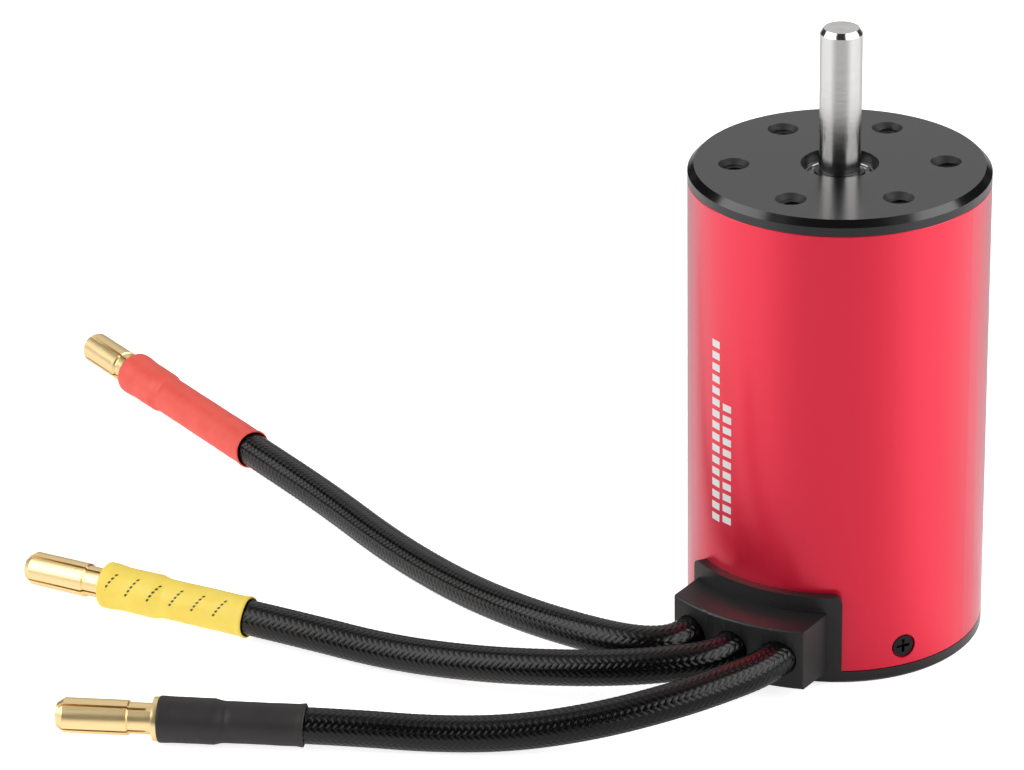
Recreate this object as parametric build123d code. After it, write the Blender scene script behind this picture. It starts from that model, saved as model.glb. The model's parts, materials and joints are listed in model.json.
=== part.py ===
"""Brushless inner-rotor motor with a sealed can, a side cable block and three bullet-ended leads.

Millimetres.  The origin is the centre of the flat rear face, +Z runs up the shaft, and the cable
block points along -Y.
"""

from build123d import *
from math import cos, pi, radians, sin, sqrt, tan
import os

# ---- can and end fittings -------------------------------------------------
can_od = 36.0
can_wall = 1.5
motor_length = 60.0
rear_flange = 1.6
front_flange = 1.8
front_chamfer = 0.76
rear_chamfer = 0.36
can_edge = 0.12
can_r = can_od / 2
bore_r = can_r - can_wall
can_bottom = rear_flange
can_top = motor_length - front_flange

# ---- front face -----------------------------------------------------------
bolt_circle_r = 12.5
bolt_count = 6
bolt_clocking = 33.5
tap_r = 1.25
tap_depth = 6.0
countersink_r = 1.85
front_opening_r = 4.635
front_shoulder = 1.5
front_spigot = 6.2

# ---- rear cap -------------------------------------------------------------
rear_floor = 2.0
rear_spigot_top = 8.8
rear_ring_wall = 3.0
rear_hub_r = 7.3
rear_recess_floor = 2.6
shaft_end_recess_r = 3.2
shaft_end_recess_floor = 1.4

# ---- seals ----------------------------------------------------------------
seal_width = 1.0
seal_section_r = 0.48
rear_seal_z = 2.5
front_seal_z = 56.7

# ---- radial cap screws ----------------------------------------------------
screw_count = 3
screw_azimuth = -32.0
screw_z = 4.15
screw_head_r = 1.32
screw_head_height = 1.0
screw_shank_r = 0.85
screw_length = 3.6
counterbore_r = 1.55
counterbore_depth = 1.15
recess_slot = 0.36
recess_reach = 0.85
recess_depth = 0.5

# ---- shaft ----------------------------------------------------------------
shaft_r = 2.5
shaft_projection = 17.0
shaft_bottom = 2.4
shaft_chamfer_side = 0.4
shaft_chamfer_length = 0.65
snap_groove_r = 2.2
snap_groove_z = (58.75, 59.25)
snap_ring_r = 3.0
snap_ring_gap = 55.0

# ---- bearings, 5 x 11 x 5 -------------------------------------------------
bearing_r = 5.5
bearing_width = 5.0
ball_r = 0.8
ball_circle_r = 4.0
ball_count = 7
ball_clearance = 0.07
outer_land_r = 4.45
outer_lip_r = 4.3
outer_lip = 0.15
inner_land_r = 3.5
inner_end_r = 3.05
shield_thickness = 0.2
shield_inner_r = 3.2
cage_r = (3.72, 4.28)
cage_span = (-0.5, 1.35)
preload_gap = 0.6
front_bearing_z = motor_length - front_shoulder - bearing_width / 2
rear_bearing_z = rear_floor + preload_gap + bearing_width / 2

# ---- stator ---------------------------------------------------------------
tooth_count = 6
stator_z = (15.0, 45.0)
stator_bore_r = 8.0
shoe_r = 9.3
shoe_half_angle = 26.0
back_iron_r = 14.0
tooth_half_width = 2.25
liner_thickness = 0.25
insulator_thickness = 1.0
coil_inner_half = 2.6
coil_outer_half = 4.9
coil_reach = (9.7, 12.6)
coil_end_turn = 2.4
coil_corner = 1.4
star_ring_r = (12.0, 12.8)
star_ring_z = (9.7, 10.5)

# ---- rotor ----------------------------------------------------------------
magnet_count = 4
magnet_r = (5.0, 7.3)
magnet_span = 84.0
band_thickness = 0.3
rotor_core_overhang = 1.0
balance_ring_r = 7.2
balance_ring_length = 2.0
balance_hole_r = 0.6
spacer_r = 3.4

# ---- cable block ----------------------------------------------------------
block_flange_thickness = 1.2
block_flange_angles = (-31.4, 33.2)
block_flange_z = (0.9, 12.1)
block_flange_corner = 1.0
block_face_r = 24.3
block_half_width = 9.0
block_z = (2.3, 10.0)
block_edge = 0.3
boss_half_width = 8.2
boss_z = (3.4, 8.9)
boss_inner_r = 16.2
window_clearance = 0.1
lead_z = 6.15
lead_pitch = 6.0
socket_r = 2.25
socket_depth = 1.25

# ---- leads ----------------------------------------------------------------
conductor_r = 1.5
sleeve_r = 2.2
sleeve_bore_r = 1.6
conductor_start_y = -10.6
splice_r = 1.8
splice_y = (-13.4, -10.4)
sleeve_in_shrink = 4.5
shrink_thin_r = 2.5
shrink_thick_r = 2.75
shrink_mouth_r = 2.95
shrink_lip_r = 2.1
shrink_lip = 0.35
shrink_step = 1.0
cup_r = 2.35
cup_length = 7.0
cup_bore_depth = 5.8
plug_collar_r = 2.65
plug_collar = 0.6
plug_neck_r = 1.87
plug_neck = 2.9
plug_shoulder = 0.15
plug_r = 2.1
plug_length = 11.6
plug_tip_length = 0.9
plug_tip_r = 1.5
plug_bore_r = 1.3
slit_width = 0.3
slit_start = 0.8
runs_to_arc = 0.45


class Lead:
    """One lead: its hole in the block, and the points that its sleeve follows.

    route holds every point after the block's socket.  The last two lie on the straight line of the
    heat-shrink and the plug, and the last is the sleeve's end, inside the heat-shrink.  shrink is
    the distance from the heat-shrink's start to the front of the plug's collar, which the
    heat-shrink covers unless bare_collar is set.
    """

    def __init__(self, colour, hole_x, shrink, slit_clocking, route, bare_collar=False):
        self.colour = colour
        self.hole_x = hole_x
        self.shrink = shrink
        self.slit_clocking = slit_clocking
        self.bare_collar = bare_collar
        self.face_y = -sqrt(block_face_r**2 - hole_x**2)
        start = Vector(hole_x, self.face_y + socket_depth, lead_z)
        self.points = [start] + [Vector(*p) for p in route]
        bend, end = self.points[-2:]
        self.heading = (end - bend).normalized()
        self.shrink_start = end - self.heading * sleeve_in_shrink
        self.plug_start = self.shrink_start + self.heading * shrink


leads = [
    Lead(
        "red",
        -lead_pitch,
        shrink=29.5,
        slit_clocking=-20.0,
        route=[
            (-6.0, -25.4, 6.15),
            (-7.8, -28.1, 6.15),
            (-11.3, -29.6, 6.15),
            (-17.4, -29.7, 5.8),
            (-27.2, -28.0, 4.8),
            (-39.2, -24.1, 3.4),
            (-53.5, -18.2, 2.4),
            (-69.0, -10.9, 2.2),
            (-83.6, -6.1, 3.0),
            (-89.2, -3.94, 3.0),
        ],
    ),
    Lead(
        "yellow",
        0.0,
        shrink=20.0,
        slit_clocking=-18.0,
        route=[
            (0.0, -26.5, 6.15),
            (-2.8, -30.1, 6.05),
            (-8.4, -34.1, 5.6),
            (-16.4, -37.3, 4.7),
            (-26.6, -39.6, 3.4),
            (-38.2, -41.0, 2.3),
            (-50.2, -43.0, 3.0),
            (-61.4, -44.3, 3.0),
        ],
    ),
    Lead(
        "black",
        lead_pitch,
        shrink=18.0,
        slit_clocking=-27.0,
        bare_collar=True,
        route=[
            (6.0, -26.1, 6.15),
            (4.3, -31.0, 6.0),
            (0.7, -37.5, 5.4),
            (-5.6, -44.2, 4.0),
            (-13.6, -49.9, 2.6),
            (-22.0, -54.6, 2.2),
            (-30.6, -59.8, 3.0),
            (-39.0, -64.1, 3.0),
        ],
    ),
]


# ---- helpers ---------------------------------------------------------------
def ring(outer_r, inner_r, bottom, top):
    """A plain tube about Z between two heights."""
    return Pos(0, 0, bottom) * extrude(Circle(outer_r) - Circle(inner_r), top - bottom)


def disc(r, bottom, top):
    """A solid cylinder about Z between two heights."""
    return Pos(0, 0, bottom) * extrude(Circle(r), top - bottom)


def spun(*points):
    """The solid swept by an (r, z) outline turned about Z."""
    outline = Polyline(*[(r, 0, z) for r, z in points], close=True)
    return revolve(make_face(outline), Axis.Z)


def torus(circle_r, section_r, height):
    """An O-ring about Z."""
    return Pos(0, 0, height) * Torus(circle_r, section_r)


def around(count, start=0.0):
    """Turns about Z that spread count copies evenly."""
    return [Rot(0, 0, start + 360 * i / count) for i in range(count)]


def box(x, y, z):
    """A box from its three (low, high) pairs."""
    centre = [(low + high) / 2 for low, high in (x, y, z)]
    return Pos(*centre) * Box(x[1] - x[0], y[1] - y[0], z[1] - z[0])


def radial(r, near, far, azimuth, height):
    """A cylinder along a radius of the motor, from distance near to distance far."""
    rod = Rot(0, 90, 0) * Pos(0, 0, near) * extrude(Circle(r), far - near)
    return Rot(0, 0, azimuth) * Pos(0, 0, height) * rod


def screw_azimuths():
    return [screw_azimuth + 360 * i / screw_count for i in range(screw_count)]


# ---- housing ---------------------------------------------------------------
def can():
    """The outer tube, with the cable window and the counterbored screw holes."""
    shell = spun(
        (bore_r, can_bottom),
        (can_r - can_edge, can_bottom),
        (can_r, can_bottom + can_edge),
        (can_r, can_top - can_edge),
        (can_r - can_edge, can_top),
        (bore_r, can_top),
    )
    half = boss_half_width + window_clearance
    low, high = boss_z
    window = (low - window_clearance, high + window_clearance)
    shell -= box((-half, half), (-can_r - 1, -bore_r / 2), window)
    for azimuth in screw_azimuths():
        floor = can_r - counterbore_depth
        shell -= radial(counterbore_r, floor, can_r + 1, azimuth, screw_z)
        shell -= radial(screw_shank_r + 0.1, bore_r - 1, floor + 0.1, azimuth, screw_z)
    return shell


def front_end_bell():
    """The front plate, with its spigot, bearing seat, seal groove and tapped holes."""
    spigot_bottom = can_top - front_spigot
    bearing_top = motor_length - front_shoulder
    bell = spun(
        (bearing_r, spigot_bottom),
        (bore_r, spigot_bottom),
        (bore_r, can_top),
        (can_r, can_top),
        (can_r, motor_length - front_chamfer),
        (can_r - front_chamfer, motor_length),
        (front_opening_r, motor_length),
        (front_opening_r, bearing_top),
        (bearing_r, bearing_top),
    )
    groove = (front_seal_z - seal_width / 2, front_seal_z + seal_width / 2)
    bell -= ring(bore_r + 1, bore_r - seal_width, *groove)
    hole = disc(tap_r, motor_length - tap_depth, motor_length)
    sink_depth = countersink_r - tap_r
    hole += Pos(0, 0, motor_length - sink_depth / 2) * Cone(tap_r, countersink_r, sink_depth)
    for turn in around(bolt_count, bolt_clocking):
        bell -= turn * Pos(bolt_circle_r, 0, 0) * hole
    return bell


def rear_end_cap():
    """The closed rear plate, with its ring spigot, bearing hub, seal groove and cable notch."""
    ring_inner = bore_r - rear_ring_wall
    bearing_top = rear_bearing_z + bearing_width / 2
    cap = spun(
        (0, 0),
        (can_r - rear_chamfer, 0),
        (can_r, rear_chamfer),
        (can_r, rear_flange),
        (bore_r, rear_flange),
        (bore_r, rear_spigot_top),
        (ring_inner, rear_spigot_top),
        (ring_inner, rear_recess_floor),
        (rear_hub_r, rear_recess_floor),
        (rear_hub_r, bearing_top),
        (bearing_r, bearing_top),
        (bearing_r, rear_floor),
        (shaft_end_recess_r, rear_floor),
        (shaft_end_recess_r, shaft_end_recess_floor),
        (0, shaft_end_recess_floor),
    )
    groove = (rear_seal_z - seal_width / 2, rear_seal_z + seal_width / 2)
    cap -= ring(bore_r + 1, bore_r - seal_width, *groove)
    half = boss_half_width + 2 * window_clearance
    notch_floor = boss_z[0] - 2 * window_clearance
    cap -= box((-half, half), (-can_r, -9.5), (notch_floor, rear_spigot_top + 1))
    for azimuth in screw_azimuths():
        cap -= radial(screw_shank_r, ring_inner - 1, bore_r + 1, azimuth, screw_z)
    return cap


def end_cap_screws():
    """The radial screws: a flat head with a cross recess in a counterbore, and a plain shank."""
    top = can_r - counterbore_depth + screw_head_height
    screw = radial(screw_head_r, top - screw_head_height, top, 0, screw_z)
    screw += radial(screw_shank_r, top - screw_length, top - screw_head_height, 0, screw_z)
    floor = top - recess_depth
    narrow = (-recess_slot / 2, recess_slot / 2)
    wide = (-recess_reach, recess_reach)
    for across, up in ((narrow, wide), (wide, narrow)):
        height = (screw_z + up[0], screw_z + up[1])
        screw -= box((floor, top + 1), across, height)
    return Compound([Rot(0, 0, azimuth) * screw for azimuth in screw_azimuths()])


def cable_block():
    """The moulded block that carries the leads out: flange, block, and a boss through the can."""
    low, high = block_flange_z
    flange_r = can_r + block_flange_thickness
    flange = ring(flange_r, can_r, low, high)
    sides = [-90 + angle for angle in block_flange_angles]
    corners = [(80 * cos(radians(a)), 80 * sin(radians(a))) for a in sides]
    wedge = make_face(Polyline((0, 0), *corners, close=True))
    flange &= Pos(0, 0, low) * extrude(wedge, high - low)
    radial_edges = [
        e
        for e in flange.edges().filter_by(GeomType.LINE)
        if abs(e.length - block_flange_thickness) < 0.01
    ]
    flange = fillet(radial_edges, block_flange_corner)
    body = disc(block_face_r, *block_z) - disc(can_r, *block_z)
    span = (-block_half_width, block_half_width)
    body &= box(span, (-block_face_r - 1, -5), block_z)
    body = fillet([e for e in body.edges() if e.center().Y < -flange_r - 1], block_edge)
    boss = disc(can_r + 0.5, *boss_z) - disc(boss_inner_r, *boss_z)
    boss &= box((-boss_half_width, boss_half_width), (-can_r - 1, -5), boss_z)
    block = flange + body + boss
    for lead in leads:
        bore = Plane(origin=(lead.hole_x, 0, lead_z), z_dir=(0, -1, 0))
        block -= bore * extrude(Circle(sleeve_bore_r), block_face_r + 5)
        socket_floor = -lead.face_y - socket_depth
        block -= bore * Pos(0, 0, socket_floor) * extrude(Circle(socket_r), 10)
    return block


# ---- bearings --------------------------------------------------------------
def outer_race():
    half = bearing_width / 2
    race = spun(
        (outer_land_r, -half + outer_lip),
        (outer_lip_r, -half + outer_lip),
        (outer_lip_r, -half),
        (bearing_r, -half),
        (bearing_r, half),
        (outer_lip_r, half),
        (outer_lip_r, half - outer_lip),
        (outer_land_r, half - outer_lip),
    )
    return race - Torus(ball_circle_r, ball_r + ball_clearance)


def inner_race():
    half = bearing_width / 2
    step = half - 0.5
    race = spun(
        (shaft_r, -half),
        (inner_end_r, -half),
        (inner_end_r, -step - 0.1),
        (inner_land_r, -step + 0.2),
        (inner_land_r, step - 0.2),
        (inner_end_r, step + 0.1),
        (inner_end_r, half),
        (shaft_r, half),
    )
    return race - Torus(ball_circle_r, ball_r + ball_clearance)


def bearing_shields():
    """Both shields of one bearing, held behind the outer race's lips."""
    top = bearing_width / 2 - outer_lip
    shield = ring(outer_land_r, shield_inner_r, top - shield_thickness, top)
    return Compound([shield, mirror(shield, Plane.XY)])


def bearing_balls():
    ball = Pos(ball_circle_r, 0, 0) * Sphere(ball_r)
    return Compound([turn * ball for turn in around(ball_count)])


def bearing_cage():
    """A crown cage: a ring with one open pocket for each ball."""
    cage = ring(cage_r[1], cage_r[0], *cage_span)
    pocket = Pos(ball_circle_r, 0, 0) * Sphere(ball_r + ball_clearance)
    for turn in around(ball_count):
        cage -= turn * pocket
    return cage


def rear_wave_spring():
    """The preload washer behind the rear bearing, drawn at its pressed height."""
    return ring(bearing_r - 0.2, outer_lip_r, rear_floor, rear_floor + preload_gap)


# ---- stator ----------------------------------------------------------------
def stator_outline(outer_r):
    """Back iron, teeth and tooth shoes, seen from the end."""
    outline = Circle(outer_r) - Circle(back_iron_r)
    middle = (stator_bore_r + back_iron_r) / 2 + 0.3
    reach = back_iron_r - stator_bore_r
    tooth = Pos(middle, 0) * Rectangle(reach, 2 * tooth_half_width)
    wide = [(30 * cos(radians(a)), 30 * sin(radians(a))) for a in (-shoe_half_angle, shoe_half_angle)]
    shoe = make_face(Polyline((0, 0), *wide, close=True)) & Circle(shoe_r)
    for turn in around(tooth_count, -90):
        outline += turn * tooth
        outline += turn * shoe
    return outline - Circle(stator_bore_r)


def stator_core():
    bottom, top = stator_z
    return Pos(0, 0, bottom) * extrude(stator_outline(bore_r), top - bottom)


def insulator(bottom):
    """A moulded end plate in the stator's shape, which the end turns bear on."""
    return Pos(0, 0, bottom) * extrude(stator_outline(bore_r - 0.2), insulator_thickness)


def slot_liners():
    """Folded sheet insulation lining each slot, open towards its middle."""
    bottom, top = stator_z
    slots = Circle(back_iron_r) - Circle(shoe_r)
    for turn in around(tooth_count, -90):
        slots -= turn * Pos(back_iron_r / 2, 0) * Rectangle(back_iron_r + 2, 2 * tooth_half_width)
    liners = [slot - offset(slot, -liner_thickness) for slot in slots.faces()]
    return Compound([Pos(0, 0, bottom) * extrude(liner, top - bottom) for liner in liners])


def coil(index):
    """One coil: a racetrack wound round a tooth, as deep as the slot allows."""
    window = (stator_z[0] - insulator_thickness, stator_z[1] + insulator_thickness)
    height = window[1] - window[0]
    middle = (window[0] + window[1]) / 2
    near, far = coil_reach
    outer = RectangleRounded(2 * coil_outer_half, height + 2 * coil_end_turn, coil_corner)
    inner = Rectangle(2 * coil_inner_half, height)
    face = Plane(origin=(near, 0, middle), x_dir=(0, 1, 0), z_dir=(1, 0, 0))
    loop = face * extrude(outer - inner, far - near)
    return Rot(0, 0, -90 + 360 * index / tooth_count) * loop


def phase_splices():
    """The crimp sleeves that join the windings' tails to the three lead conductors."""
    tube = extrude(Circle(splice_r) - Circle(conductor_r), splice_y[1] - splice_y[0])
    places = [Plane(origin=(lead.hole_x, splice_y[1], lead_z), z_dir=(0, -1, 0)) for lead in leads]
    return Compound([place * tube for place in places])


# ---- rotor -----------------------------------------------------------------
def shaft():
    top = motor_length + shaft_projection
    rod = spun(
        (0, shaft_bottom),
        (shaft_r - shaft_chamfer_side, shaft_bottom),
        (shaft_r, shaft_bottom + shaft_chamfer_side),
        (shaft_r, snap_groove_z[0]),
        (snap_groove_r, snap_groove_z[0]),
        (snap_groove_r, snap_groove_z[1]),
        (shaft_r, snap_groove_z[1]),
        (shaft_r, top - shaft_chamfer_length),
        (shaft_r - shaft_chamfer_side, top),
        (0, top),
    )
    return rod


def shaft_snap_ring():
    """The open ring in the shaft's groove, just in front of the front bearing."""
    low, high = snap_groove_z
    clip = ring(snap_ring_r, snap_groove_r, low + 0.05, high - 0.05)
    sides = [(20 * cos(radians(a)), 20 * sin(radians(a))) for a in (-snap_ring_gap / 2, snap_ring_gap / 2)]
    gap = Pos(0, 0, low) * extrude(make_face(Polyline((0, 0), *sides, close=True)), high - low)
    return clip - Rot(0, 0, 60) * gap


def rotor_core():
    low, high = stator_z
    return ring(magnet_r[0], shaft_r, low - rotor_core_overhang, high + rotor_core_overhang)


def magnet(index):
    """One arc magnet, bonded to the core under the band."""
    low, high = stator_z
    half = magnet_span / 2
    sides = [(40 * cos(radians(a)), 40 * sin(radians(a))) for a in (-half, half)]
    wedge = make_face(Polyline((0, 0), *sides, close=True))
    arc = ring(magnet_r[1], magnet_r[0], low, high) & Pos(0, 0, low) * extrude(wedge, high - low)
    return Rot(0, 0, 360 * index / magnet_count) * arc


def rotor_band():
    return ring(magnet_r[1] + band_thickness, magnet_r[1], *stator_z)


def balance_ring(bottom):
    """A brass ring, drilled at its rim to balance the rotor."""
    blank = ring(balance_ring_r, shaft_r, bottom, bottom + balance_ring_length)
    drilling = Pos(balance_ring_r - 1.5, 0, bottom) * Cylinder(balance_hole_r, 2 * balance_ring_length)
    for turn in (Rot(0, 0, 35), Rot(0, 0, 60)):
        blank -= turn * drilling
    return blank


# ---- leads -----------------------------------------------------------------
def corner_radii(points):
    """Each corner's arc takes up nearly half of its shorter run."""
    radii = []
    for before, corner, after in zip(points, points[1:], points[2:]):
        shorter = min((corner - before).length, (after - corner).length)
        turn = (corner - before).get_angle(after - corner)
        radii.append(runs_to_arc * shorter / tan(radians(turn / 2)))
    return radii


def swept(section, path):
    return sweep(Plane(origin=path @ 0, z_dir=path % 0) * section, path=path)


def lead_sleeve(lead):
    """The braided sleeve from the block's socket to inside the heat-shrink."""
    radii = corner_radii(lead.points)
    path = FilletPolyline(*lead.points, radius=radii)
    solid = swept(Circle(sleeve_r) - Circle(sleeve_bore_r), path)
    expected = pi * (sleeve_r**2 - sleeve_bore_r**2) * path.length
    print(lead.colour, "sleeve length", round(path.length, 2), "volume ratio", round(solid.volume / expected, 4))
    print("  radii", [round(r, 1) for r in radii])
    return solid


def lead_conductor(lead):
    """The stranded conductor, on the sleeve's line, from the windings into the plug's cup."""
    radii = corner_radii(lead.points)
    start = Vector(lead.hole_x, conductor_start_y, lead_z)
    cup_back = plug_collar + cup_length
    end = lead.plug_start - lead.heading * (cup_back - cup_bore_depth)
    path = FilletPolyline(start, *lead.points[1:-1], end, radius=radii)
    return swept(Circle(conductor_r), path)


def on_lead(lead, start):
    """The plane at a point of the lead's straight end, facing the way the plug points."""
    return Plane(origin=start, x_dir=(0, 0, 1), z_dir=lead.heading)


def heat_shrink(lead):
    """Adhesive-lined tube: thin over the sleeve, thick over the plug's cup, lipped at the collar."""
    collar_back = lead.shrink - plug_collar
    cup_back = collar_back - cup_length
    outside = [
        (sleeve_r, 0),
        (shrink_thin_r, 0),
        (shrink_thin_r, cup_back - shrink_step),
        (shrink_thick_r, cup_back),
    ]
    mouth = [
        (shrink_thick_r, collar_back - shrink_step),
        (shrink_mouth_r, collar_back),
        (shrink_mouth_r, lead.shrink),
        (shrink_mouth_r - shrink_lip, lead.shrink + shrink_lip),
        (shrink_lip_r, lead.shrink + shrink_lip),
        (shrink_lip_r, lead.shrink),
        (plug_collar_r, lead.shrink),
        (plug_collar_r, collar_back),
    ]
    if lead.bare_collar:
        mouth = [(shrink_thick_r, collar_back)]
    inside = [
        (cup_r, collar_back),
        (cup_r, cup_back),
        (conductor_r, cup_back),
        (conductor_r, sleeve_in_shrink),
        (sleeve_r, sleeve_in_shrink),
    ]
    return on_lead(lead, lead.shrink_start) * spun(*outside, *mouth, *inside)


def bullet_plug(lead):
    """A gilt bullet plug: solder cup, collar, and a hollow neck and barrel slit into four springs."""
    cup_back = -plug_collar - cup_length
    barrel_start = plug_neck + plug_shoulder
    plug = spun(
        (0, cup_back + cup_bore_depth),
        (conductor_r, cup_back + cup_bore_depth),
        (conductor_r, cup_back),
        (cup_r, cup_back),
        (cup_r, -plug_collar),
        (plug_collar_r, -plug_collar),
        (plug_collar_r, 0),
        (plug_neck_r, 0),
        (plug_neck_r, plug_neck),
        (plug_r, barrel_start),
        (plug_r, plug_length - plug_tip_length),
        (plug_tip_r, plug_length),
        (plug_bore_r, plug_length),
        (plug_bore_r, slit_start),
        (0, slit_start),
    )
    slit = box((-can_r, can_r), (-slit_width / 2, slit_width / 2), (slit_start, plug_length + 1))
    for clocking in (lead.slit_clocking, lead.slit_clocking + 90):
        plug -= Rot(0, 0, clocking) * slit
    return on_lead(lead, lead.plug_start) * plug


# ---- assembly --------------------------------------------------------------
def bearing(name, height):
    """The parts of one bearing, at its height on the shaft."""
    at = Pos(0, 0, height)
    return {
        name + "_bearing_outer_race": at * outer_race(),
        name + "_bearing_inner_race": at * inner_race(),
        name + "_bearing_shields": at * bearing_shields(),
        name + "_bearing_balls": at * bearing_balls(),
        name + "_bearing_cage": at * bearing_cage(),
    }


def assembly():
    low, high = stator_z
    rear_ring_bottom = low - rotor_core_overhang - balance_ring_length
    front_ring_bottom = high + rotor_core_overhang
    nodes = {
        "can": can(),
        "front_end_bell": front_end_bell(),
        "rear_end_cap": rear_end_cap(),
        "front_o_ring": torus(bore_r - seal_width / 2, seal_section_r, front_seal_z),
        "rear_o_ring": torus(bore_r - seal_width / 2, seal_section_r, rear_seal_z),
        "end_cap_screws": end_cap_screws(),
        "cable_block": cable_block(),
        "rear_wave_spring": rear_wave_spring(),
        "stator_core": stator_core(),
        "front_insulator": insulator(high),
        "rear_insulator": insulator(low - insulator_thickness),
        "slot_liners": slot_liners(),
        "star_point_ring": ring(star_ring_r[1], star_ring_r[0], *star_ring_z),
        "phase_splices": phase_splices(),
        "shaft": shaft(),
        "shaft_snap_ring": shaft_snap_ring(),
        "rotor_core": rotor_core(),
        "rotor_band": rotor_band(),
        "rear_balance_ring": balance_ring(rear_ring_bottom),
        "front_balance_ring": balance_ring(front_ring_bottom),
        "rear_spacer": ring(spacer_r, shaft_r, rear_bearing_z + bearing_width / 2, rear_ring_bottom),
        "front_spacer": ring(
            spacer_r,
            shaft_r,
            front_ring_bottom + balance_ring_length,
            front_bearing_z - bearing_width / 2,
        ),
    }
    for index in range(tooth_count):
        nodes[f"coil_{index + 1}"] = coil(index)
    for index in range(magnet_count):
        nodes[f"magnet_{index + 1}"] = magnet(index)
    nodes.update(bearing("front", front_bearing_z))
    nodes.update(bearing("rear", rear_bearing_z))
    for lead in leads:
        nodes[lead.colour + "_lead_sleeve"] = lead_sleeve(lead)
        nodes[lead.colour + "_lead_conductor"] = lead_conductor(lead)
        nodes[lead.colour + "_heat_shrink"] = heat_shrink(lead)
        nodes[lead.colour + "_bullet_plug"] = bullet_plug(lead)
    return nodes


os.makedirs("parts", exist_ok=True)
for name, shape in assembly().items():
    export_step(shape, f"parts/{name}.step")
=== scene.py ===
"""The looks of a sealed brushless motor with three leads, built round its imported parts.

Metres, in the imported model's frame: the origin is the centre of the flat rear face, +Z runs up the
shaft, and the cable block points along -Y.
"""

import json
from math import cos, degrees, pi, radians, sin, sqrt

import bpy
import numpy as np
from mathutils import Matrix, Vector

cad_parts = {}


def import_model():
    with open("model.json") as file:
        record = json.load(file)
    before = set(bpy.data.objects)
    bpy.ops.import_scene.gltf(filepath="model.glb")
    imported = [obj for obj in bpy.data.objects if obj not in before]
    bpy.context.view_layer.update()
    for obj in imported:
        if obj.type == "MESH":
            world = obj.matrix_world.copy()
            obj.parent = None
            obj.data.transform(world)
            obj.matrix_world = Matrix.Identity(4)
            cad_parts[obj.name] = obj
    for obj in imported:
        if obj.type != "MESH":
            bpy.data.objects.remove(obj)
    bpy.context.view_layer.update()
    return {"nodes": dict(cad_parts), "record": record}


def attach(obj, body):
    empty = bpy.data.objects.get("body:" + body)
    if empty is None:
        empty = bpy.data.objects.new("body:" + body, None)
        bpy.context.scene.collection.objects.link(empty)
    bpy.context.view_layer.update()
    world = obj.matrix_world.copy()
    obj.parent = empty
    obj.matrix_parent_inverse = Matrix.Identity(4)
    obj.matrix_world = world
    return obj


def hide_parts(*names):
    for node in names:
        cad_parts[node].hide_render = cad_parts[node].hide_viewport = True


mm = 0.001

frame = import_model()
nodes = frame["nodes"]

# ---- camera ----------------------------------------------------------------
camera_place = Vector((266.44, -457.79, 277.28)) * mm
camera_heading = 34.4353
camera_pitch = 24.9202
camera_roll = -1.0245
camera_lens = 170.12
sensor_width = 36.0

# ---- light and stage ---------------------------------------------------------
floor_size = 6.0
floor_drop = 0.02 * mm
floor_glow = 0.33
floor_seen_glow = 0.8
floor_end_on = 0.56
floor_white = 0.8
floor_in_line = (0.45, 0.98)
toward_camera = Vector((camera_place.x, camera_place.y, 0)).normalized()
room_dark = 0.03
backdrop_bright = 0.72
backdrop_sines = (0.10, 0.30, 0.88, 0.97)
backdrop_cosines = (0.75, 0.92)
# name, azimuth from the camera's side, elevation, distance, width, height, radiance
softboxes = [
    ("overhead", 180, 85, 1.0, 1.2, 0.8, 0.4),
    ("left_box", -75, 33, 0.95, 1.1, 0.75, 2.8),
    ("right_box", 70, 33, 0.95, 1.2, 0.75, 3.1),
]

# ---- the can and its ends ----------------------------------------------------
can_r = 18.0
rim_r = 17.25
face_z = 60.0
hole_count = 6
hole_circle_r = 12.5
hole_clocking = 33.5
hole_r = 1.25
sunk_r = 1.83
lip_r = 4.16
lip_z = 58.5
lip_thickness = 0.09
lip_around = 120
lip_section = 12
thread_top = 0.55
thread_pitch = 0.5
thread_turns = 6
thread_rise = 0.22
thread_around = 40
thread_fade = 2.0
mark_lift = 0.012
mark_rows = [(-112.1, 17.6, 41.8, 16), (-105.6, 17.9, 34.1, 11)]
mark_width = 1.45
mark_share = 0.62

# ---- edges rounded on the block and the plugs ----------------------------------
block_edge = 0.22
plug_edge = 0.28
edge_segments = 3
edge_angle = 28

# ---- leads, repeated from the part's own dimensions --------------------------
route_resolution = 48
block_face_r = 24.3
socket_depth = 1.25
lead_z = 6.15
conductor_start_y = -10.6
conductor_r = 1.5
conductor_step = 0.6
conductor_around = 60
strands = 12
strand_groove = 0.14
strand_lay = 18
sleeve_r = 2.2
sleeve_in_shrink = 4.5
shrink_thin_r = 2.5
cup_length = 7.0
plug_collar = 0.6
cup_bore_depth = 5.8

# ---- the heat-shrink tubes -----------------------------------------------------
tube_around = 96
tube_rings = 120
tube_cut_rings = (0.06, 0.14)
tube_rounding = 0.22
tube_mouth_r = 2.62
tube_waist_r = 2.48
tube_rise_r = 2.52
tube_cup_r = 2.74
tube_end_r = 2.9
tube_bare_end_r = 2.8
tube_overlap = 0.3
bore_sleeve_r = 2.22
bore_mouth_flare = 0.2
bore_conductor_r = 1.55
bore_cup_r = 2.36
bore_collar_r = 2.66
bore_lip_r = 2.1
tube_seed = {"red": 0.4, "yellow": 1.9, "black": 3.1}
swell_height = 0.010
ripple_height = 0.006
dent_turn = 2.4
dent_half_length = 0.5
dent_depth = {"red": 0.28, "yellow": 0.10, "black": 0.15}

# ---- the dots on the yellow tube -----------------------------------------------
dot_r = 0.17
dot_blur = 0.05
dot_columns = 3.1
dot_rows = 0.5
dot_slant = 0.55
dot_band = 2.5
dot_azimuth = 142.0

# ---- braid -------------------------------------------------------------------
carriers = 18
braid_pitch = 0.8
braid_around = 144
braid_step = 0.115
braid_height = 0.115
crown_share = 0.4
filaments = 4


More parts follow.
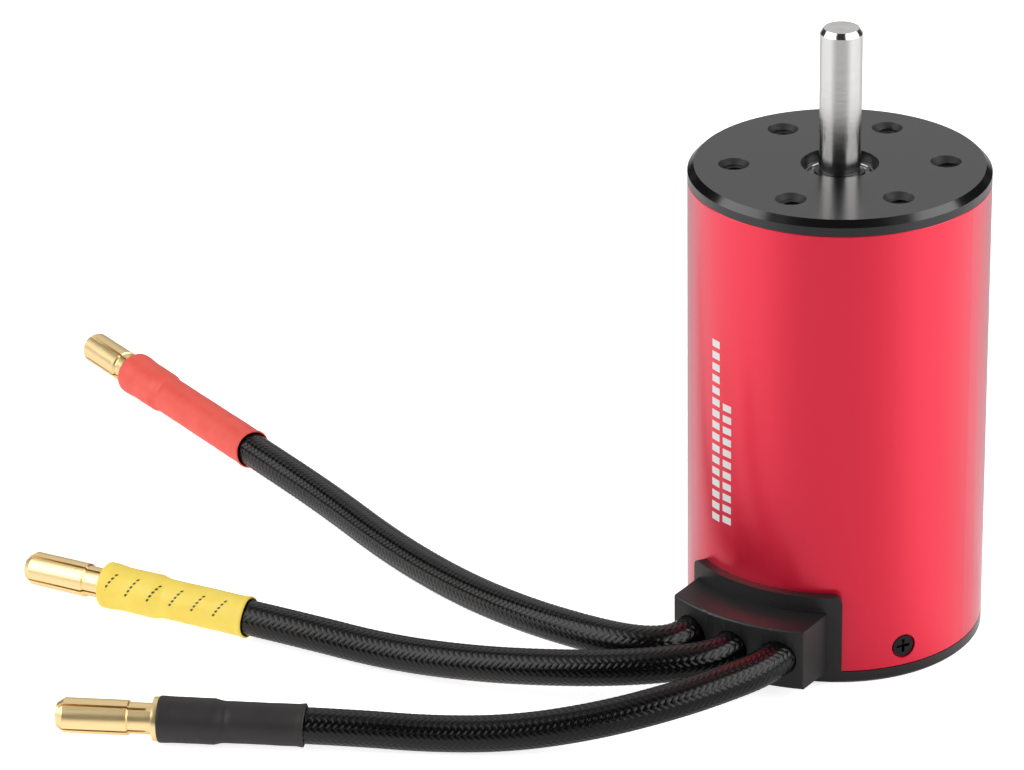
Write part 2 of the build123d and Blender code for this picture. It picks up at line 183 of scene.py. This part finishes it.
class Lead:
    """One lead: its hole in the block, and the points that its centreline follows, in millimetres."""

    def __init__(self, colour, hole_x, shrink, route, bare_collar=False):
        self.colour = colour
        self.shrink = shrink
        self.bare_collar = bare_collar
        face_y = -sqrt(block_face_r**2 - hole_x**2)
        self.exit = Vector((hole_x, face_y, lead_z)) * mm
        self.points = [Vector((hole_x, face_y + socket_depth, lead_z)) * mm]
        self.points += [Vector(p) * mm for p in route]
        bend, end = self.points[-2:]
        self.heading = (end - bend).normalized()
        self.shrink_start = end - self.heading * sleeve_in_shrink * mm
        self.plug_start = self.shrink_start + self.heading * shrink * mm


leads = [
    Lead(
        "red",
        -6.0,
        shrink=29.5,
        route=[
            (-6.0, -25.4, 6.15),
            (-7.8, -28.1, 6.15),
            (-11.3, -29.6, 6.15),
            (-17.4, -29.7, 5.8),
            (-27.2, -28.0, 4.8),
            (-39.2, -24.1, 3.4),
            (-53.5, -18.2, 2.4),
            (-69.0, -10.9, 2.2),
            (-83.6, -6.1, 3.0),
            (-89.2, -3.94, 3.0),
        ],
    ),
    Lead(
        "yellow",
        0.0,
        shrink=20.0,
        route=[
            (0.0, -26.5, 6.15),
            (-2.8, -30.1, 6.05),
            (-8.4, -34.1, 5.6),
            (-16.4, -37.3, 4.7),
            (-26.6, -39.6, 3.4),
            (-38.2, -41.0, 2.3),
            (-50.2, -43.0, 3.0),
            (-61.4, -44.3, 3.0),
        ],
    ),
    Lead(
        "black",
        6.0,
        shrink=18.0,
        bare_collar=True,
        route=[
            (6.0, -26.1, 6.15),
            (4.3, -31.0, 6.0),
            (0.7, -37.5, 5.4),
            (-5.6, -44.2, 4.0),
            (-13.6, -49.9, 2.6),
            (-22.0, -54.6, 2.2),
            (-30.6, -59.8, 3.0),
            (-39.0, -64.1, 3.0),
        ],
    ),
]


# ---- mesh helpers --------------------------------------------------------------
def link(name, mesh):
    """A new object for a mesh, in the scene, shaded smooth."""
    mesh.shade_smooth()
    piece = bpy.data.objects.new(name, mesh)
    bpy.context.scene.collection.objects.link(piece)
    return piece


def grid(name, rows, close_rows=False, cap=False, uv=False):
    """A mesh from an array of rings of points.  Each ring is closed on itself.

    close_rows joins the last ring to the first, and cap closes both ends.  uv gives each vertex
    its ring's and its column's share of the whole, as the map "lay".
    """
    rows = np.asarray(rows, float)
    count, around = rows.shape[:2]
    mesh = bpy.data.meshes.new(name)
    index = np.arange(count * around).reshape(count, around)
    below = index if close_rows else index[:-1]
    above = np.roll(index, -1, axis=0) if close_rows else index[1:]
    quads = np.stack([below, np.roll(below, -1, 1), np.roll(above, -1, 1), above], -1)
    faces = quads.reshape(-1, 4).tolist()
    if cap:
        faces += [index[0][::-1].tolist(), index[-1].tolist()]
    mesh.from_pydata(rows.reshape(-1, 3).tolist(), [], faces)
    if uv:
        column = np.arange(around + 1) / around
        u = np.stack([column[:-1], column[1:], column[1:], column[:-1]], -1)
        row = np.arange(count)
        v = np.stack([row[:-1], row[:-1], row[1:], row[1:]], -1)
        lay = np.zeros((len(below), around, 4, 2))
        lay[..., 0] = u[None]
        lay[..., 1] = v[:, None]
        layer = mesh.uv_layers.new(name="lay")
        flat = np.zeros(len(mesh.loops) * 2)
        flat[: lay.size] = lay.reshape(-1)
        layer.data.foreach_set("uv", flat)
    mesh.update()
    return link(name, mesh)


def centreline(lead):
    """Points of the NURBS spline whose control points are the lead's route."""
    curve = bpy.data.curves.new(lead.colour + "_route", "CURVE")
    curve.dimensions = "3D"
    curve.resolution_u = route_resolution
    spline = curve.splines.new("NURBS")
    spline.points.add(len(lead.points) - 1)
    for control, place in zip(spline.points, lead.points):
        control.co = (*place, 1.0)
    spline.order_u = 3
    spline.use_endpoint_u = True
    holder = bpy.data.objects.new(lead.colour + "_route", curve)
    mesh = bpy.data.meshes.new_from_object(holder)
    points = np.array([v.co for v in mesh.vertices], float)
    bpy.data.objects.remove(holder)
    bpy.data.curves.remove(curve)
    bpy.data.meshes.remove(mesh)
    return points


def evenly(points, step):
    """The same line, with its points a step apart, and its length."""
    runs = np.linalg.norm(np.diff(points, axis=0), axis=1)
    points = points[np.r_[True, runs > 1e-9]]
    along = np.r_[0, np.cumsum(np.linalg.norm(np.diff(points, axis=0), axis=1))]
    places = np.linspace(0, along[-1], round(along[-1] / step) + 1)
    line = np.stack([np.interp(places, along, points[:, k]) for k in range(3)], -1)
    return line, places


def carried_frames(line):
    """At each point of a line, two directions across it that turn with it and don't twist."""
    tangents = np.gradient(line, axis=0)
    tangents /= np.linalg.norm(tangents, axis=1)[:, None]
    across = np.cross(tangents[0], (0, 0, 1))
    across /= np.linalg.norm(across)
    sides = [across]
    for tangent in tangents[1:]:
        across = sides[-1] - tangent * (sides[-1] @ tangent)
        sides.append(across / np.linalg.norm(across))
    sides = np.array(sides)
    return sides, np.cross(sides, tangents)


def around_line(line, radii):
    """Rings of points about a line, from an array of radii, one row for each point of the line."""
    sides, ups = carried_frames(line)
    angles = np.arange(radii.shape[1]) * 2 * pi / radii.shape[1]
    ring = sides[:, None] * np.cos(angles)[None, :, None]
    ring = ring + ups[:, None] * np.sin(angles)[None, :, None]
    return line[:, None] + ring * radii[..., None]


# ---- the leads -----------------------------------------------------------------
def braid_relief(around, along):
    """Height from 0 to 1 of a braid whose carriers go over two and under two.

    around is a share of a turn, and along is a distance in pitches.
    """
    left = carriers * around + along
    right = carriers * around - along
    rise_left = 0.5 + 0.5 * np.cos(pi / 2 * (np.round(left) + right - 0.5))
    rise_right = 0.5 + 0.5 * np.cos(pi / 2 * (left + np.round(right) - 2.5))
    crown_left = np.abs(np.cos(pi * left)) ** 0.5
    crown_right = np.abs(np.cos(pi * right)) ** 0.5
    share = crown_share
    high_left = share * crown_left + (1 - share) * rise_left
    high_right = share * crown_right + (1 - share) * rise_right
    return np.maximum(high_left * crown_left**0.3, high_right * crown_right**0.3)


def braided_sleeve(lead, line, along):
    """The braided sleeve: a closed tube whose surface is the braid's own relief."""
    turn = np.arange(braid_around) / braid_around
    relief = braid_relief(turn[None], along[:, None] / (braid_pitch * mm))
    radii = (sleeve_r - braid_height * (1 - relief)) * mm
    rings = around_line(line, radii)
    return grid(lead.colour + "_braided_sleeve", rings, cap=True, uv=True)


def stranded_conductor(lead, line):
    """The twisted strands inside the sleeve, from the windings to the plug's cup."""
    start = Vector((lead.points[0].x, conductor_start_y * mm, lead_z * mm))
    cup_back = plug_collar + cup_length
    end = lead.plug_start - lead.heading * (cup_back - cup_bore_depth) * mm
    points = np.vstack([np.array(start)[None], line, np.array(end)[None]])
    inner, along = evenly(points, conductor_step * mm)
    angles = np.arange(conductor_around) * 2 * pi / conductor_around
    twist = along[:, None] / (strand_lay * mm) * 2 * pi
    lobes = np.abs(np.cos(strands / 2 * (angles[None] - twist)))
    radii = (conductor_r - strand_groove * (1 - lobes)) * mm
    return grid(lead.colour + "_stranded_conductor", around_line(inner, radii), cap=True)


def shrink_profile(lead):
    """Places along the heat-shrink from its start, its outer radius there, its end and the cup's back."""
    collar_back = lead.shrink - plug_collar
    cup_back = collar_back - cup_length
    end = collar_back if lead.bare_collar else lead.shrink + tube_overlap
    near, far = tube_cut_rings
    places = np.unique(np.r_[np.linspace(0, end, tube_rings), near, far, end - far, end - near])
    last_r = tube_bare_end_r if lead.bare_collar else tube_end_r
    outer = np.interp(
        places,
        [0, 0.9, cup_back - 1.1, cup_back - 0.5, cup_back + 0.4, collar_back - 1.6, collar_back],
        [tube_mouth_r, shrink_thin_r, tube_waist_r, tube_rise_r, tube_cup_r, tube_cup_r, last_r],
    )
    return places, outer, end, cup_back


def heat_shrink(lead):
    """The shrunk tube: a wall with rounded cut ends, a soft step at the cup, and small dents."""
    places, outer, end, cup_back = shrink_profile(lead)
    angles = np.arange(tube_around) * 2 * pi / tube_around
    inward = np.maximum(0, tube_rounding - np.minimum(places, end - places))
    edge = tube_rounding - np.sqrt(np.maximum(0, tube_rounding**2 - inward**2))
    seed = tube_seed[lead.colour]
    wave = swell_height * np.sin(places[:, None] * 0.9 + 3 * np.sin(angles[None] + seed) + seed)
    wave += ripple_height * np.sin(places[:, None] * 2.3 + 2 * np.cos(2 * angles[None] - seed))
    dent = np.exp(-(((places[:, None] - cup_back + 1.0) / dent_half_length) ** 2))
    dent = dent * np.maximum(0, np.cos(angles[None] - dent_turn)) ** 6 * dent_depth[lead.colour]
    radii = outer[:, None] + wave - dent - edge[:, None]
    mouth = bore_sleeve_r + bore_mouth_flare * np.clip(1 - places / 1.2, 0, 1)
    past_sleeve = np.where(places < cup_back, bore_conductor_r, bore_cup_r)
    bore = np.where(places < sleeve_in_shrink, mouth, past_sleeve)
    if not lead.bare_collar:
        bore = np.where(places > lead.shrink - plug_collar, bore_collar_r, bore)
        bore = np.where(places > lead.shrink, bore_lip_r, bore)
    bores = np.repeat(bore[:, None], tube_around, 1)
    cut = 0.12 * np.sin(angles + seed) + 0.05 * np.sin(3 * angles + 2 * seed)
    lengthwise = np.repeat(places[:, None], tube_around, 1)
    lengthwise += cut[None] * np.maximum(0, 1 - places[:, None] / 3)
    start, heading = np.array(lead.shrink_start), np.array(lead.heading)
    side = np.cross(heading, (0, 0, 1))
    up = np.cross(side, heading)
    ring = side * np.cos(angles)[:, None] + up * np.sin(angles)[:, None]

    def shell(radius):
        return start + heading * lengthwise[..., None] * mm + ring[None] * radius[..., None] * mm

    rows = np.concatenate([shell(radii), shell(bores)[::-1]])
    return grid(lead.colour + "_shrink_tube", rows, close_rows=True)


def build_lead(lead):
    """One whole lead: sleeve, conductor, heat-shrink and the plug at its end."""
    line, along = evenly(centreline(lead), braid_step * mm)
    sleeve = braided_sleeve(lead, line, along)
    conductor = stranded_conductor(lead, line)
    tube = heat_shrink(lead)
    plug = nodes[lead.colour + "_bullet_plug"]
    for piece, node, slot in (
        (sleeve, "_lead_sleeve", "black_braid"),
        (conductor, "_lead_conductor", "tinned_copper"),
        (tube, "_heat_shrink", lead.colour + "_shrink"),
    ):
        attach(piece, "housing")
        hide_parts(lead.colour + node)
    return sleeve, conductor, tube, plug


# ---- small details on the housing ------------------------------------------------
def hole_threads():
    """The first turns of thread that show inside the six front holes, as one piece."""
    steps = thread_around * thread_turns + 1
    angles = np.arange(steps) * 2 * pi / thread_around
    depth = thread_top + angles / (2 * pi) * thread_pitch
    fade = np.clip(np.minimum(angles, angles[-1] - angles) / thread_fade, 0, 1)
    profile = [(-0.42, 0.02), (-0.06, -thread_rise), (0.06, -thread_rise), (0.42, 0.02)]
    points, faces = [], []
    for k in range(hole_count):
        turn = radians(hole_clocking + 360 / hole_count * k)
        centre = np.array([hole_circle_r * cos(turn), hole_circle_r * sin(turn)])
        for shift, rise in profile:
            radii = hole_r + np.where(rise < 0, rise * fade, rise)
            x = centre[0] + radii * np.cos(angles + turn)
            y = centre[1] + radii * np.sin(angles + turn)
            z = face_z - depth - shift * thread_pitch
            first = len(points)
            points += (np.stack([x, y, z], -1) * mm).tolist()
            if shift > profile[0][0]:
                for n in range(steps - 1):
                    a, b = first - steps + n, first + n
                    faces.append((a, a + 1, b + 1, b))
    mesh = bpy.data.meshes.new("hole_threads")
    mesh.from_pydata(points, [], faces)
    piece = link("hole_threads", mesh)
    mesh.shade_flat()
    return piece


def bearing_lip():
    """The bright rounded lip of the front bearing's outer race, in the shaft's opening."""
    angles = np.arange(lip_around) * 2 * pi / lip_around
    turns = np.arange(lip_section) * 2 * pi / lip_section
    radii = lip_r + lip_thickness * np.cos(turns)
    rows = np.stack(
        [
            radii[None] * np.cos(angles)[:, None],
            radii[None] * np.sin(angles)[:, None],
            np.repeat((lip_z + lip_thickness * np.sin(turns))[None], lip_around, 0),
        ],
        -1,
    )
    return grid("bearing_lip", rows * mm, close_rows=True)


def printed_marks():
    """Two rows of plain white blocks on the can, in place of the printing there."""
    points, faces = [], []
    radius = can_r + mark_lift
    for azimuth, low, high, count in mark_rows:
        pitch = (high - low) / count
        half = degrees(mark_width / 2 / radius)
        for k in range(count):
            top = high - k * pitch
            bottom = top - pitch * mark_share
            first = len(points)
            for turn in np.linspace(azimuth - half, azimuth + half, 5):
                x, y = radius * cos(radians(turn)), radius * sin(radians(turn))
                points += [(x * mm, y * mm, bottom * mm), (x * mm, y * mm, top * mm)]
            for n in range(4):
                a = first + 2 * n
                faces.append((a, a + 2, a + 3, a + 1))
    mesh = bpy.data.meshes.new("printed_marks")
    mesh.from_pydata(points, [], faces)
    return link("printed_marks", mesh)


def soften(piece, width):
    """Rounds a CAD piece's sharp edges, with modifiers, by a width in millimetres."""
    weld = piece.modifiers.new("weld", "WELD")
    weld.merge_threshold = 0.0005 * mm
    bevel = piece.modifiers.new("bevel", "BEVEL")
    bevel.width = width * mm
    bevel.segments = edge_segments
    bevel.limit_method = "ANGLE"
    bevel.angle_limit = radians(edge_angle)
    bevel.use_clamp_overlap = True
    normals = piece.modifiers.new("normals", "WEIGHTED_NORMAL")
    normals.weight = 80


# ---- materials -------------------------------------------------------------------
class Shading:
    """A node tree, and short calls that add and join its nodes."""

    def __init__(self, tree):
        self.tree = tree

    def put(self, socket, value):
        if isinstance(value, bpy.types.NodeSocket):
            self.tree.links.new(value, socket)
        elif socket.type == "RGBA" and len(value) == 3:
            socket.default_value = (*value, 1.0)
        else:
            socket.default_value = value

    def add(self, kind, inputs=(), **properties):
        node = self.tree.nodes.new("ShaderNode" + kind)
        for name, value in properties.items():
            setattr(node, name, value)
        for name, value in dict(inputs).items():
            self.put(node.inputs[name], value)
        return node

    def math(self, operation, *values):
        node = self.add("Math", operation=operation)
        for socket, value in zip(node.inputs, values):
            self.put(socket, value)
        return node.outputs[0]

    def dot(self, a, b):
        return self.add("VectorMath", {0: a, 1: b}, operation="DOT_PRODUCT").outputs["Value"]

    def hypotenuse(self, a, b):
        squares = [self.math("POWER", side, 2.0) for side in (a, b)]
        return self.math("SQRT", self.math("ADD", *squares))

    def spread(self, value, low, high, to_low, to_high, smooth=False):
        """value from low..high carried to to_low..to_high."""
        inputs = {"Value": value, "From Min": low, "From Max": high, "To Min": to_low}
        inputs["To Max"] = to_high
        shape = "SMOOTHSTEP" if smooth else "LINEAR"
        return self.add("MapRange", inputs, interpolation_type=shape).outputs[0]

    def mix(self, factor, low, high):
        return self.add("Mix", {"Factor": factor, 2: low, 3: high}).outputs[0]

    def mix_colour(self, factor, low, high):
        node = self.add("Mix", {"Factor": factor}, data_type="RGBA")
        self.put(node.inputs[6], low)
        self.put(node.inputs[7], high)
        return node.outputs[2]


class Finish(Shading):
    """A material: its tree and its Principled shader."""

    def __init__(self, name, **settings):
        self.material = bpy.data.materials.new(name)
        self.material.use_nodes = True
        super().__init__(self.material.node_tree)
        self.shader = self.tree.nodes["Principled BSDF"]
        for socket, value in settings.items():
            self.put(self.shader.inputs[socket.replace("_", " ").title().replace("Ior", "IOR")], value)

    def object_place(self):
        return self.add("TexCoord").outputs["Object"]

    def noise(self, scale, detail=3.0, stretch=(1, 1, 1), place=None):
        """Noise over the object's own coordinates, scale in cycles per millimetre."""
        place = place or self.object_place()
        moved = self.add("Mapping", {"Vector": place, "Scale": [1000 * scale * s for s in stretch]})
        inputs = {"Vector": moved.outputs[0], "Scale": 1.0, "Detail": detail, "Roughness": 0.55}
        return self.add("TexNoise", inputs).outputs[0]

    def colour(self, value):
        self.put(self.shader.inputs["Base Color"], value)

    def rough(self, value):
        self.put(self.shader.inputs["Roughness"], value)

    def bump(self, height, depth):
        """A bump of a height from 0 to 1, its depth in millimetres."""
        node = self.add("Bump", {"Height": height, "Distance": depth * mm, "Strength": 1.0})
        self.put(self.shader.inputs["Normal"], node.outputs[0])


def red_anodised():
    finish = Finish(
        "red_anodised_can",
        base_color=(0.94, 0.008, 0.050),
        metallic=0.6,
        specular_tint=(0.35, 0.8, 0.85),
        coat_weight=0.85,
        coat_roughness=0.22,
        coat_ior=1.5,
    )
    streaks = finish.noise(0.9, 4.0, stretch=(1, 1, 0.03))
    grain = finish.noise(14.0, 2.0, stretch=(1, 1, 0.25))
    finish.rough(finish.spread(streaks, 0.3, 0.7, 0.28, 0.36))
    finish.bump(grain, 0.0012)
    return finish.material


def black_anodised():
    """Satin on the turned faces, smoother on the rim and its chamfer, and rough inside the holes."""
    finish = Finish("black_anodised_ends", base_color=(0.004, 0.004, 0.0045), ior=1.6)
    grain = finish.noise(9.0, 3.0)
    flat = finish.add("VectorMath", {0: finish.object_place(), 1: (1, 1, 0)}, operation="MULTIPLY")
    radius = finish.add("VectorMath", {0: flat.outputs[0]}, operation="LENGTH").outputs["Value"]
    rim = finish.spread(radius, (rim_r - 0.08) * mm, (rim_r + 0.02) * mm, 0.0, 1.0)
    rough = finish.mix(rim, finish.spread(grain, 0.3, 0.7, 0.20, 0.27), 0.15)
    axes = finish.add("SeparateXYZ", {0: finish.object_place()}).outputs
    turn = finish.math("ARCTAN2", axes["Y"], axes["X"])
    turn = finish.math("SUBTRACT", turn, radians(hole_clocking))
    half_gap = radians(180 / hole_count)
    turn = finish.math("WRAP", turn, half_gap, -half_gap)
    beside = finish.math("MULTIPLY", radius, finish.math("SINE", turn))
    ahead = finish.math("MULTIPLY", radius, finish.math("COSINE", turn))
    ahead = finish.math("SUBTRACT", ahead, hole_circle_r * mm)
    from_hole = finish.hypotenuse(beside, ahead)
    bored = finish.math("LESS_THAN", from_hole, sunk_r * mm)
    finish.rough(finish.mix(bored, rough, 0.6))
    finish.bump(grain, 0.0006)
    return finish.material


def ground_steel():
    """Round ground bar: the marks run round it, so a highlight spreads along it."""
    finish = Finish(
        "ground_steel",
        base_color=(0.70, 0.69, 0.68),
        metallic=1.0,
        anisotropic=0.7,
        anisotropic_rotation=0.25,
    )
    marks = finish.noise(9.0, 3.0, stretch=(0.05, 0.05, 1))
    finish.rough(finish.spread(marks, 0.3, 0.7, 0.16, 0.26))
    tangent = finish.add("Tangent", direction_type="RADIAL", axis="Z")
    finish.put(finish.shader.inputs["Tangent"], tangent.outputs[0])
    finish.bump(marks, 0.0018)
    return finish.material


def metal(name, colour, low, high, scale=6.0, stretch=(1, 1, 1), depth=0.001):
    """A plain metal whose roughness runs from low to high over a fine grain."""
    finish = Finish(name, base_color=colour, metallic=1.0)
    grain = finish.noise(scale, 3.0, stretch)
    finish.rough(finish.spread(grain, 0.3, 0.7, low, high))
    finish.bump(grain, depth)
    return finish.material


def moulded(name, colour, low, high, scale=6.0, depth=0.002):
    """A moulded or rubbery surface with a fine grain."""
    finish = Finish(name, base_color=colour)
    grain = finish.noise(scale, 4.0)
    finish.rough(finish.spread(grain, 0.3, 0.7, low, high))
    finish.bump(grain, depth)
    return finish.material


def braid():
    """Glossy black filaments, which run along whichever carrier lies on top."""
    finish = Finish("black_braid", base_color=(0.002, 0.002, 0.0022), ior=1.42, roughness=0.17)
    lay = finish.add("SeparateXYZ", {0: finish.add("UVMap", uv_map="lay").outputs[0]})
    turn = finish.math("MULTIPLY", lay.outputs["X"], carriers)
    along = finish.math("MULTIPLY", lay.outputs["Y"], braid_step / braid_pitch)
    left = finish.math("ADD", turn, along)
    right = finish.math("SUBTRACT", turn, along)
    cell = finish.math("ADD", finish.math("ROUND", left), finish.math("ROUND", right))
    under = finish.math("GREATER_THAN", finish.math("WRAP", cell, 4.0, 0.0), 1.5)
    top = finish.mix(under, left, right)
    wave = finish.math("COSINE", finish.math("MULTIPLY", top, filaments * pi))
    finish.bump(finish.math("ABSOLUTE", wave), 0.009)
    return finish.material


def shrink(name, colour, deep, roughness=(0.42, 0.52)):
    """Satin heat-shrink with a faint unevenness in its colour: its finish, and its colours' socket."""
    finish = Finish(name)
    blotch = finish.noise(0.35, 3.0)
    grain = finish.noise(7.0, 3.0)
    colours = finish.mix_colour(finish.spread(blotch, 0.35, 0.65, 0.0, 1.0), colour, deep)
    finish.colour(colours)
    finish.rough(finish.spread(grain, 0.3, 0.7, *roughness))
    finish.bump(grain, 0.004)
    return finish, colours


def plain_shrink(*settings):
    return shrink(*settings)[0].material


def dotted_shrink(lead, name, colour, deep, ink):
    """The yellow tube, with slanted rows of small printed dots."""
    finish, colours = shrink(name, colour, deep)
    heading = np.array(lead.heading)
    side = np.cross(heading, (0, 0, 1))
    up = np.cross(side, heading)
    start = tuple(lead.shrink_start)
    place = finish.add("VectorMath", {0: finish.object_place(), 1: start}, operation="SUBTRACT")
    place = place.outputs[0]
    along = finish.math("DIVIDE", finish.dot(place, tuple(heading)), mm)
    angle = finish.math("ARCTAN2", finish.dot(place, tuple(up)), finish.dot(place, tuple(side)))
    turn = finish.math("SUBTRACT", angle, radians(dot_azimuth))
    across = finish.math("MULTIPLY", turn, shrink_thin_r)
    slanted = finish.math("SUBTRACT", along, finish.math("MULTIPLY", across, dot_slant))
    column = finish.math("WRAP", slanted, dot_columns / 2, -dot_columns / 2)
    row = finish.math("WRAP", across, dot_rows / 2, -dot_rows / 2)
    away = finish.hypotenuse(column, row)
    dot = finish.spread(away, dot_r - dot_blur, dot_r + dot_blur, 1.0, 0.0)
    near = finish.math("LESS_THAN", finish.math("ABSOLUTE", across), dot_band / 2)
    clear = finish.math("GREATER_THAN", along, 1.2)
    clear = finish.math("MULTIPLY", clear, finish.math("LESS_THAN", along, lead.shrink - 1.0))
    inked = finish.math("MULTIPLY", dot, finish.math("MULTIPLY", near, clear))
    finish.colour(finish.mix_colour(inked, colours, ink))
    return finish.material


def finishes():
    """The record's material slots, each with its finished material."""
    return {
        "red_anodised": red_anodised(),
        "black_anodised": black_anodised(),
        "ground_steel": ground_steel(),
        "bearing_steel": metal("bearing_steel", (0.5, 0.5, 0.52), 0.18, 0.3),
        "black_screw": metal("blackened_screw", (0.035, 0.035, 0.038), 0.3, 0.42),
        "seal_rubber": moulded("seal_rubber", (0.015, 0.015, 0.015), 0.5, 0.65),
        "black_moulding": moulded("black_moulding", (0.013, 0.012, 0.0125), 0.36, 0.48, 5.0, 0.004),
        "spring_steel": metal("spring_steel", (0.05, 0.05, 0.052), 0.3, 0.42),
        "lamination_steel": metal(
            "lamination_steel", (0.3, 0.3, 0.32), 0.3, 0.5, 3.0, (0.05, 0.05, 1), 0.02
        ),
        "white_insulator": moulded("white_insulator", (0.75, 0.73, 0.66), 0.4, 0.55),
        "liner_paper": moulded("liner_paper", (0.62, 0.5, 0.26), 0.6, 0.8, 3.0, 0.01),
        "enamelled_copper": metal(
            "enamelled_copper", (0.72, 0.28, 0.12), 0.2, 0.35, 1.2, (1, 1, 0.05), 0.06
        ),
        "magnet_nickel": metal("magnet_nickel", (0.6, 0.58, 0.54), 0.2, 0.32),
        "rotor_band_fibre": moulded("rotor_band_fibre", (0.04, 0.04, 0.045), 0.3, 0.45, 4.0, 0.01),
        "balance_brass": metal("balance_brass", (0.75, 0.52, 0.2), 0.2, 0.32),
        "cage_nylon": moulded("cage_nylon", (0.5, 0.24, 0.1), 0.4, 0.55),
        "black_braid": braid(),
        "tinned_copper": metal("tinned_copper", (0.72, 0.5, 0.4), 0.25, 0.4),
        "red_shrink": plain_shrink("red_shrink", (0.92, 0.110, 0.078), (0.86, 0.090, 0.062)),
        "yellow_shrink": dotted_shrink(
            leads[1], "yellow_shrink", (0.99, 0.78, 0.125), (0.98, 0.72, 0.10), (0.02, 0.015, 0.01)
        ),
        "black_shrink": plain_shrink(
            "black_shrink", (0.020, 0.0155, 0.016), (0.015, 0.012, 0.0125), (0.5, 0.6)
        ),
        "gilt": metal("gilt", (1.0, 0.77, 0.40), 0.33, 0.40, 5.0, (1, 1, 1), 0.0002),
    }


def dress(piece, material):
    piece.data.materials.clear()
    piece.data.materials.append(material)


# ---- stage -------------------------------------------------------------------------
def floor_finish():
    """White with a glow of its own: full as seen, and in reflections softer, dimmest in front and behind."""
    white = (floor_white, floor_white, floor_white)
    finish = Finish("white_floor", base_color=white, roughness=0.9, specular_ior_level=0.0)
    place = finish.add("VectorMath", {0: finish.object_place()}, operation="NORMALIZE").outputs[0]
    in_line = finish.math("ABSOLUTE", finish.dot(place, toward_camera))
    share = finish.spread(in_line, *floor_in_line, 1.0, floor_end_on, smooth=True)
    seen = finish.add("LightPath").outputs["Is Camera Ray"]
    glow = finish.mix(seen, finish.math("MULTIPLY", share, floor_glow), floor_seen_glow)
    finish.colour(finish.math("MULTIPLY", finish.mix(seen, share, 1.0), floor_white))
    finish.put(finish.shader.inputs["Emission Color"], (1.0, 1.0, 1.0))
    finish.put(finish.shader.inputs["Emission Strength"], glow)
    return finish.material


def floor():
    mesh = bpy.data.meshes.new("floor")
    reach = floor_size / 2
    corners = [(-reach, -reach), (reach, -reach), (reach, reach), (-reach, reach)]
    mesh.from_pydata([(x, y, -floor_drop) for x, y in corners], [], [(0, 1, 2, 3)])
    plane = bpy.data.objects.new("floor", mesh)
    bpy.context.scene.collection.objects.link(plane)
    dress(plane, floor_finish())


def softbox(name, azimuth, elevation, distance, width, height, radiance):
    """A rectangular lamp that faces the motor.  Azimuth is counted from the camera's side."""
    data = bpy.data.lights.new(name, "AREA")
    data.shape = "RECTANGLE"
    data.size = width
    data.size_y = height
    data.energy = radiance * pi * width * height
    lamp = bpy.data.objects.new(name, data)
    out = Matrix.Rotation(radians(azimuth), 3, "Z") @ toward_camera
    out = out * cos(radians(elevation)) + Vector((0, 0, sin(radians(elevation))))
    lamp.location = out * distance
    lamp.rotation_euler = out.to_track_quat("Z", "Y").to_euler()
    lamp.visible_camera = False
    bpy.context.scene.collection.objects.link(lamp)


def world():
    """A dark room with a bright backdrop behind the motor, above the floor's far edge."""
    backdrop = bpy.data.worlds.new("studio")
    backdrop.use_nodes = True
    room = Shading(backdrop.node_tree)
    direction = room.add("TexCoord").outputs["Generated"]
    level = room.add("VectorMath", {0: direction, 1: (1, 1, 0)}, operation="MULTIPLY").outputs[0]
    level = room.add("VectorMath", {0: level}, operation="NORMALIZE").outputs[0]
    behind = room.dot(level, -toward_camera)
    behind = room.spread(behind, *backdrop_cosines, 0.0, 1.0, smooth=True)
    height = room.add("SeparateXYZ", {0: direction}).outputs["Z"]
    foot, bottom, top, end = backdrop_sines
    above = room.spread(height, foot, bottom, 0.0, 1.0, smooth=True)
    below = room.spread(height, top, end, 1.0, 0.0, smooth=True)
    share = room.math("MULTIPLY", behind, room.math("MULTIPLY", above, below))
    background = room.tree.nodes["Background"]
    room.put(background.inputs["Color"], (1.0, 1.0, 1.0))
    room.put(background.inputs["Strength"], room.spread(share, 0.0, 1.0, room_dark, backdrop_bright))
    bpy.context.scene.world = backdrop


def camera():
    data = bpy.data.cameras.new("camera")
    data.lens = camera_lens
    data.sensor_width = sensor_width
    data.clip_start = 0.01
    viewer = bpy.data.objects.new("camera", data)
    turn = Matrix.Rotation(radians(camera_heading), 4, "Z")
    tilt = Matrix.Rotation(radians(90 - camera_pitch), 4, "X")
    roll = Matrix.Rotation(radians(camera_roll), 4, "Z")
    viewer.matrix_world = Matrix.Translation(camera_place) @ turn @ tilt @ roll
    bpy.context.scene.collection.objects.link(viewer)
    bpy.context.scene.camera = viewer


# ---- the scene ----------------------------------------------------------------------
def main():
    slots = finishes()
    node_slot = {s["node"]: s["material_slot"] for s in frame["record"]["subparts"]}
    for name, node in nodes.items():
        dress(node, slots[node_slot[name]])
    for piece, slot, look in (
        (hole_threads(), "black_anodised", slots["black_anodised"]),
        (bearing_lip(), "bearing_steel", metal("bright_lip", (0.75, 0.74, 0.72), 0.1, 0.16)),
        (printed_marks(), "white_insulator", moulded("white_print", (0.83, 0.82, 0.82), 0.4, 0.5)),
    ):
        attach(piece, "housing")
        dress(piece, look)
    soften(nodes["cable_block"], block_edge)
    for lead in leads:
        soften(nodes[lead.colour + "_bullet_plug"], plug_edge)
        sleeve, conductor, tube, plug = build_lead(lead)
        dress(sleeve, slots["black_braid"])
        dress(conductor, slots["tinned_copper"])
        dress(tube, slots[lead.colour + "_shrink"])
    floor()
    for lamp in softboxes:
        softbox(*lamp)
    world()
    camera()
    bpy.context.scene.view_settings.view_transform = "Standard"


main()
